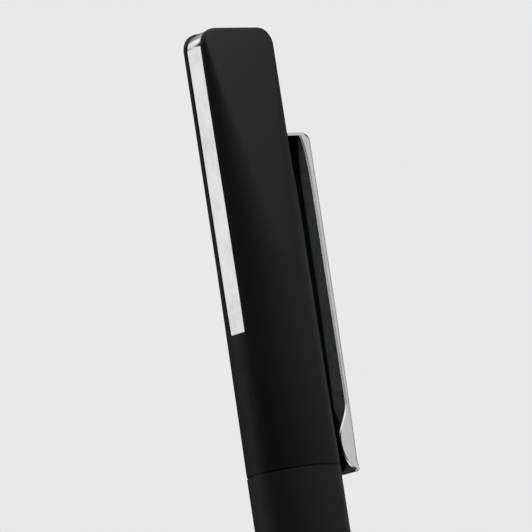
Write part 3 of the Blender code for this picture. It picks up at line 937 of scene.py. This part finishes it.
def make_thread_bush():
    """Brass, with a female thread cut into its bore and knurl-like grip rings outside."""
    outer, bore = BUSH_HIGH.x, 4.25
    low, high = BUSH_LOW.z, BUSH_HIGH.z
    start, end = low + 0.35, high - 0.35

    def shaped(radius, z, angle):
        if abs(radius - bore) > 0.01 or not start < z < end:
            return radius
        return radius + THREAD_DEPTH * (1 - thread_wave(z, angle, start, end))

    profile = [
        (outer, high, 0.15),
        (outer, low + 1.5, 0.02),
        (outer - 0.25, low + 1.25, 0.05),
        (outer - 0.25, low + 0.95, 0.05),
        (outer, low + 0.7, 0.02),
        (outer, low, 0.15),
        (bore + 0.2, low),
        (bore, low + 0.2),
        *rows(bore, low + 0.2, high - 0.2, THREAD_ROW),
        (bore, high - 0.2),
        (bore + 0.2, high),
    ]
    finished(turned("thread_bush_finish", profile, shaped=shaped), "thread_bush", BRASS)


def make_refill_spring():
    """A coil with closed ends, built at rest."""
    wire_r = 0.25
    coil_r = SPRING_HIGH.x - wire_r
    low, high = SPRING_LOW.z + wire_r, SPRING_HIGH.z - wire_r
    turns, points_a_turn, closed_turns = 6.0, 40, 0.9
    curve = bpy.data.curves.new("refill_spring_finish", "CURVE")
    curve.dimensions = "3D"
    curve.bevel_depth = wire_r * MM
    curve.bevel_resolution = 4
    curve.use_fill_caps = True
    spline = curve.splines.new("POLY")
    count = int(turns * points_a_turn)
    spline.points.add(count)
    climb = (high - low - 4 * wire_r) / (turns - 2 * closed_turns)
    for i, point in enumerate(spline.points):
        turn = turns * i / count
        z = low + 2 * wire_r * min(turn, closed_turns) / closed_turns
        z += climb * min(max(turn - closed_turns, 0.0), turns - 2 * closed_turns)
        z += 2 * wire_r * max(turn - turns + closed_turns, 0.0) / closed_turns
        angle = math.tau * turn
        point.co = (coil_r * math.cos(angle) * MM, coil_r * math.sin(angle) * MM, z * MM, 1.0)
    coil = bpy.data.objects.new("refill_spring_wire", curve)
    bpy.context.scene.collection.objects.link(coil)
    graph = bpy.context.evaluated_depsgraph_get()
    mesh = bpy.data.meshes.new_from_object(coil.evaluated_get(graph), depsgraph=graph)
    bpy.data.objects.remove(coil)
    bm = bmesh.new()
    bm.from_mesh(mesh)
    bmesh.ops.remove_doubles(bm, verts=bm.verts, dist=1e-7)
    spring = mesh_object("refill_spring_finish", bm)
    finished(spring, "refill_spring", SPRING_STEEL, ride=False)
    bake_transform(spring)


# ---------------------------------------------------------------- grip section and refill


def make_shoulder_washer():
    inner = 4.25
    edge = 0.05
    profile = [
        (WASHER_HIGH.x, WASHER_HIGH.z, edge),
        (WASHER_HIGH.x, WASHER_LOW.z, edge),
        (inner, WASHER_LOW.z, edge),
        (inner, WASHER_HIGH.z, edge),
    ]
    finished(turned("shoulder_washer_finish", profile), "shoulder_washer", BLACK_PLASTIC)


def make_grip_section():
    """A tapered grip with shallow finger rings, on a threaded spigot."""
    shoulder, spigot_r, bore, nose_bore, stop = MOUTH_Z, 4.1, 3.4, 2.65, 97.0
    top, bottom = GRIP_HIGH.z, GRIP_LOW.z
    groove_low, groove_high = SNAP_LOW.z - 0.1, SNAP_HIGH.z + 0.1
    thread_low, thread_high = bottom + 0.7, shoulder - 1.2
    rings_low, ring_pitch, ring_count, ring_depth = 85.2, 1.25, 8, 0.09
    taper = [(GRIP_R, 83.0), (4.58, 86.0), (4.4, 90.0), (4.2, 94.0), (4.05, 97.5), (3.95, top - 0.8)]

    def taper_r(z):
        for (upper_r, low_z), (lower_r, high_z) in zip(taper, taper[1:]):
            if z <= high_z:
                return upper_r + (lower_r - upper_r) * max(0.0, z - low_z) / (high_z - low_z)
        return taper[-1][0]

    def shaped(radius, z, angle):
        if abs(radius - spigot_r) < 0.01 and thread_low < z < thread_high:
            return radius - THREAD_DEPTH * thread_wave(z, angle, thread_low, thread_high)
        return radius

    finger = []
    steps = 10
    for i in range(ring_count * steps, -1, -1):
        z = rings_low + ring_pitch * i / steps
        dip = max(0.0, math.cos(math.tau * i / steps + math.pi)) ** 2
        finger.append((taper_r(z) - ring_depth * dip, z))
    profile = [
        (3.3, top, 0.1),
        (3.75, top - 0.25, 0.2),
        (3.95, top - 0.8, 0.4),
        (4.05, 97.5, 2.0),
        *finger,
        (GRIP_R, 83.0, 4.0),
        (GRIP_R, groove_high, 0.06),
        (spigot_r, groove_high),
        (spigot_r, groove_low),
        (GRIP_R, groove_low, 0.06),
        (GRIP_R, shoulder, 0.08),
        (spigot_r, shoulder, 0.1),
        (spigot_r, thread_high),
        *rows(spigot_r, thread_high, thread_low, THREAD_ROW),
        (spigot_r, thread_low),
        (spigot_r, bottom + 0.4, 0.05),
        (spigot_r - 0.4, bottom, 0.05),
        (bore, bottom, 0.05),
        (bore, stop),
        (nose_bore, stop),
        (nose_bore, top, 0.1),
    ]
    grip = turned("grip_section_finish", profile, shaped=shaped)
    finished(grip, "grip_section", BLACK_PLASTIC)


def make_section_o_ring():
    cord_r = (O_RING_HIGH.z - O_RING_LOW.z) / 2
    centre = (O_RING_HIGH.x - cord_r, (O_RING_HIGH.z + O_RING_LOW.z) / 2)
    profile = [(x, z) for x, z in arc(centre, cord_r, 0, -345, 23)]
    finished(turned("section_o_ring_finish", profile, 96), "section_o_ring", RUBBER)


def make_refill_tube():
    inner = 2.93
    profile = [
        (TUBE_HIGH.x, TUBE_HIGH.z, 0.05),
        (TUBE_HIGH.x, TUBE_LOW.z, 0.05),
        (inner, TUBE_LOW.z, 0.05),
        (inner, TUBE_HIGH.z, 0.05),
    ]
    finished(turned("refill_tube_finish", profile, 96), "refill_tube", NATURAL_PLASTIC)


def make_reservoir_core():
    bore = 1.25
    socket = NIB_LOW.z - 0.1
    profile = [
        (0.0, socket),
        (bore, socket, 0.1),
        (bore, CORE_HIGH.z, 0.1),
        (CORE_HIGH.x, CORE_HIGH.z, 0.25),
        (CORE_HIGH.x, CORE_LOW.z, 0.25),
        (0.0, CORE_LOW.z),
    ]
    finished(turned("reservoir_core_finish", profile, 96), "reservoir_core", INK_FIBRE)


def make_refill_end_plug():
    spigot_r, step_z = 2.88, TUBE_LOW.z - 0.05
    profile = [
        (0.0, END_HIGH.z - 0.3),
        (1.6, END_HIGH.z - 0.3, 0.2),
        (2.0, END_HIGH.z, 0.1),
        (spigot_r, END_HIGH.z, 0.15),
        (spigot_r, step_z, 0.03),
        (END_HIGH.x, step_z, 0.05),
        (END_HIGH.x, END_LOW.z, 0.15),
        (0.0, END_LOW.z),
    ]
    finished(turned("refill_end_plug_finish", profile, 96), "refill_end_plug", LINER_PLASTIC)


def make_nib_holder():
    """The refill's nose, with air channels down its neck."""
    bore, neck_r, stop, spigot_r = 1.25, 2.55, 97.0, 2.88
    tube_top, tube_r = TUBE_HIGH.z, TUBE_HIGH.x
    neck_top = 102.0
    channel_count, channel_depth = 6, 0.18

    def shaped(radius, z, angle):
        if not (neck_top - 0.05 < z < HOLDER_HIGH.z - 0.6) or radius < bore + 0.2:
            return radius
        wave = math.cos(channel_count * angle)
        share = min(1.0, (z - neck_top) / 0.8 + 0.05, (HOLDER_HIGH.z - 0.6 - z) / 0.8)
        return radius - channel_depth * max(0.0, wave - 0.55) / 0.45 * max(0.0, share)

    tip_r, cone_r, cone_top = 1.75, 1.95, HOLDER_HIGH.z - 0.3
    cone = []
    steps = 16
    for i in range(1, steps):
        share = i / steps
        radius = cone_r + (neck_r - cone_r) * share
        cone.append((radius, cone_top + (neck_top - cone_top) * share))
    profile = [
        (tip_r, HOLDER_HIGH.z, 0.08),
        (cone_r, cone_top, 0.15),
        *cone,
        (neck_r, neck_top),
        (neck_r, stop - 0.05, 0.05),
        (tube_r, stop - 0.05, 0.1),
        (tube_r, tube_top + 0.05, 0.05),
        (spigot_r, tube_top + 0.05, 0.03),
        (spigot_r, HOLDER_LOW.z, 0.15),
        (bore, HOLDER_LOW.z, 0.05),
        (bore, HOLDER_HIGH.z, 0.05),
    ]
    holder = turned("nib_holder_finish", profile, shaped=shaped)
    finished(holder, "nib_holder", NATURAL_PLASTIC)


def make_nib():
    """A bullet nib of bonded fibre, a little worn at its tip."""
    nose, nib_r = 2.2, NIB_HIGH.x
    profile = [(0.0, NIB_HIGH.z)]
    steps = 18
    for step in range(1, steps + 1):
        angle = math.pi / 2 * step / steps
        profile.append((nib_r * math.sin(angle), NIB_HIGH.z - nose * (1 - math.cos(angle))))
    profile += [(nib_r, NIB_LOW.z, 0.15), (0.0, NIB_LOW.z)]
    finished(turned("nib_finish", profile, 72), "nib", NIB_FELT)


def make_snap_ring():
    """A ring split on its +X side, so its box gives its radius on the other side."""
    outer, inner, half_split = -SNAP_LOW.x, 4.15, 0.6
    profile = [
        (outer, SNAP_HIGH.z, 0.15),
        (outer, SNAP_LOW.z, 0.15),
        (inner, SNAP_LOW.z, 0.1),
        (inner, SNAP_HIGH.z, 0.1),
    ]
    ring = turned("snap_ring_finish", profile)
    split = boxed(
        "snap_ring_split",
        (inner - 1.15, -half_split, SNAP_LOW.z - 1),
        (inner + 1.85, half_split, SNAP_HIGH.z + 1),
    )
    cut(ring, split)
    smooth_to_sharp(ring)
    finished(ring, "snap_ring", SPRING_STEEL)


# ---------------------------------------------------------------- stage, light and camera

BACKGROUND = 0.82  # the backdrop's strength for the camera
FLOOR_GLOW = 0.42  # lifts the floor to the backdrop's tone


def make_floor():
    """A plain pale floor that the pen stands on."""
    half_size, drop = 6.0, 0.02 * MM
    bm = bmesh.new()
    bmesh.ops.create_grid(bm, x_segments=8, y_segments=8, size=half_size)
    floor = mesh_object("floor", bm)
    floor.location.z = -drop
    m = Shader("pale_floor", (0.8, 0.8, 0.795), 0.7, Specular_IOR_Level=0.2)
    cloud = m.noise(6.0, 4.0)
    m.color(m.mixed(cloud, (0.80, 0.80, 0.795), (0.78, 0.78, 0.775)))
    m.surface.inputs["Emission Color"].default_value = (1.0, 1.0, 1.0, 1.0)
    m.surface.inputs["Emission Strength"].default_value = FLOOR_GLOW
    floor.data.materials.append(m.material)
    floor.visible_glossy = False
    floor.visible_diffuse = False


def lobe(tree, direction, inner_deg, outer_deg, strength):
    """A soft patch of light in the world: full within inner_deg of a direction, gone at
    outer_deg."""
    place = tree.nodes.new("ShaderNodeTexCoord")
    dot = tree.nodes.new("ShaderNodeVectorMath")
    dot.operation = "DOT_PRODUCT"
    tree.links.new(place.outputs["Generated"], dot.inputs[0])
    dot.inputs[1].default_value = direction
    span = tree.nodes.new("ShaderNodeMapRange")
    span.interpolation_type = "SMOOTHSTEP"
    tree.links.new(dot.outputs["Value"], span.inputs["Value"])
    span.inputs["From Min"].default_value = math.cos(math.radians(outer_deg))
    span.inputs["From Max"].default_value = math.cos(math.radians(inner_deg))
    span.inputs["To Max"].default_value = strength
    return span.outputs["Result"]


def heading(left_deg, up_deg):
    """A direction by its angle left of the pen's front (-Y) and above the horizon."""
    left, up = math.radians(left_deg), math.radians(up_deg)
    return (-math.sin(left) * math.cos(up), -math.cos(left) * math.cos(up), math.sin(up))


# Soft patches of the studio: (left of front, above horizon, full within, gone at, strength)
AMBIENT = 0.035
STUDIO = (
    (141.0, 8.0, 7.0, 14.0, 0.92),  # the band and the clip's edge
    (-42.0, 6.0, 10.0, 18.0, 0.57),  # the clip's front flange
    (-62.0, 7.0, 5.0, 14.0, 0.45),  # round its fold
    (-5.0, 12.0, 14.0, 44.0, 0.18),  # the cap's front
    (-92.0, 7.0, 4.0, 12.0, 0.4),
    (-122.0, 7.0, 7.0, 16.0, 0.45),
    (143.0, -13.0, 6.0, 14.0, 0.85),  # the bump's edge, from the bump down to the tip
    (158.0, -32.0, 8.0, 17.0, 0.85),
    (182.0, -38.0, 7.0, 15.0, 0.85),
    (156.0, 30.0, 9.0, 18.0, 0.85),  # and above the bump
    (0.0, 90.0, 25.0, 70.0, 0.6),  # overhead
    (-135.0, -22.0, 8.0, 22.0, 0.7),  # the clip, seen from above on the right
    (-90.0, -28.0, 6.0, 18.0, 0.5),
    (46.0, -24.0, 6.0, 16.0, 0.5),
)


def make_world():
    """A pale backdrop for the camera, and a studio of soft patches for the light."""
    world = bpy.data.worlds.new("studio")
    bpy.context.scene.world = world
    world.use_nodes = True
    tree = world.node_tree
    tree.nodes.clear()
    total = None
    for left, up, inner, outer, strength in STUDIO:
        patch = lobe(tree, heading(left, up), inner, outer, strength)
        joined = tree.nodes.new("ShaderNodeMath")
        joined.operation = "ADD"
        tree.links.new(patch, joined.inputs[0])
        if total is None:
            joined.inputs[1].default_value = AMBIENT
        else:
            tree.links.new(total, joined.inputs[1])
        total = joined.outputs[0]
    studio = tree.nodes.new("ShaderNodeBackground")
    studio.inputs["Color"].default_value = (1.0, 1.0, 1.0, 1.0)
    tree.links.new(total, studio.inputs["Strength"])
    backdrop = tree.nodes.new("ShaderNodeBackground")
    backdrop.inputs["Color"].default_value = (1.0, 1.0, 1.0, 1.0)
    backdrop.inputs["Strength"].default_value = BACKGROUND
    rays = tree.nodes.new("ShaderNodeLightPath")
    chosen = tree.nodes.new("ShaderNodeMixShader")
    tree.links.new(rays.outputs["Is Camera Ray"], chosen.inputs[0])
    tree.links.new(studio.outputs[0], chosen.inputs[1])
    tree.links.new(backdrop.outputs[0], chosen.inputs[2])
    output = tree.nodes.new("ShaderNodeOutputWorld")
    tree.links.new(chosen.outputs[0], output.inputs["Surface"])


def area_light(name, target_z, left_deg, up_deg, distance, size, power):
    """A soft light aimed at a height on the pen's axis."""
    light = bpy.data.lights.new(name, "AREA")
    light.shape = "DISK"
    light.size = size * MM
    light.energy = power
    lamp = bpy.data.objects.new(name, light)
    bpy.context.scene.collection.objects.link(lamp)
    target = Vector((0.0, 0.0, target_z * MM))
    direction = Vector(heading(left_deg, up_deg))
    lamp.location = target + direction * distance * MM
    lamp.rotation_mode = "QUATERNION"
    lamp.rotation_quaternion = direction.to_track_quat("Z", "Y")
    lamp.visible_camera = False


def make_lights():
    area_light("key", 145.0, -22.0, 36.0, 110.0, 40.0, 0.038)


def make_camera():
    """The photographer's view: from the left of the front, a little below the cap."""
    left, below, roll = math.radians(39.12), math.radians(7.525), math.radians(-8.745)
    distance, lens, aim_x, aim_z = 689.1, 344.3, 0.545, 105.25
    flat = math.cos(below)
    back = Vector((-math.sin(left) * flat, -math.cos(left) * flat, -math.sin(below)))
    level = (-back).cross(Vector((0.0, 0.0, 1.0))).normalized()
    above = level.cross(-back)
    across = math.cos(roll) * level + math.sin(roll) * above
    upward = math.cos(roll) * above - math.sin(roll) * level
    aim = Vector((aim_x * math.cos(left), -aim_x * math.sin(left), aim_z))
    place = (aim + distance * back) * MM
    data = bpy.data.cameras.new("camera")
    data.lens = lens
    data.sensor_width = 36.0
    data.clip_start = 0.01
    data.clip_end = 50.0
    camera = bpy.data.objects.new("camera", data)
    bpy.context.scene.collection.objects.link(camera)
    camera.matrix_world = Matrix(
        [[across[i], upward[i], back[i], place[i]] for i in range(3)] + [[0.0, 0.0, 0.0, 1.0]]
    )
    bpy.context.scene.camera = camera


# ---------------------------------------------------------------- assembly

make_cap_shell()
make_trim_band()
make_cap_sleeve()
make_inner_cap()
make_inner_cap_seal()
make_clip_retainer()
make_clip()
make_barrel_tube()
make_tail_plug()
make_thread_bush()
make_refill_spring()
make_shoulder_washer()
make_grip_section()
make_section_o_ring()
make_refill_tube()
make_reservoir_core()
make_refill_end_plug()
make_nib_holder()
make_nib()
make_snap_ring()
make_floor()
make_world()
make_lights()
make_camera()
bpy.context.scene.view_settings.view_transform = "Standard"
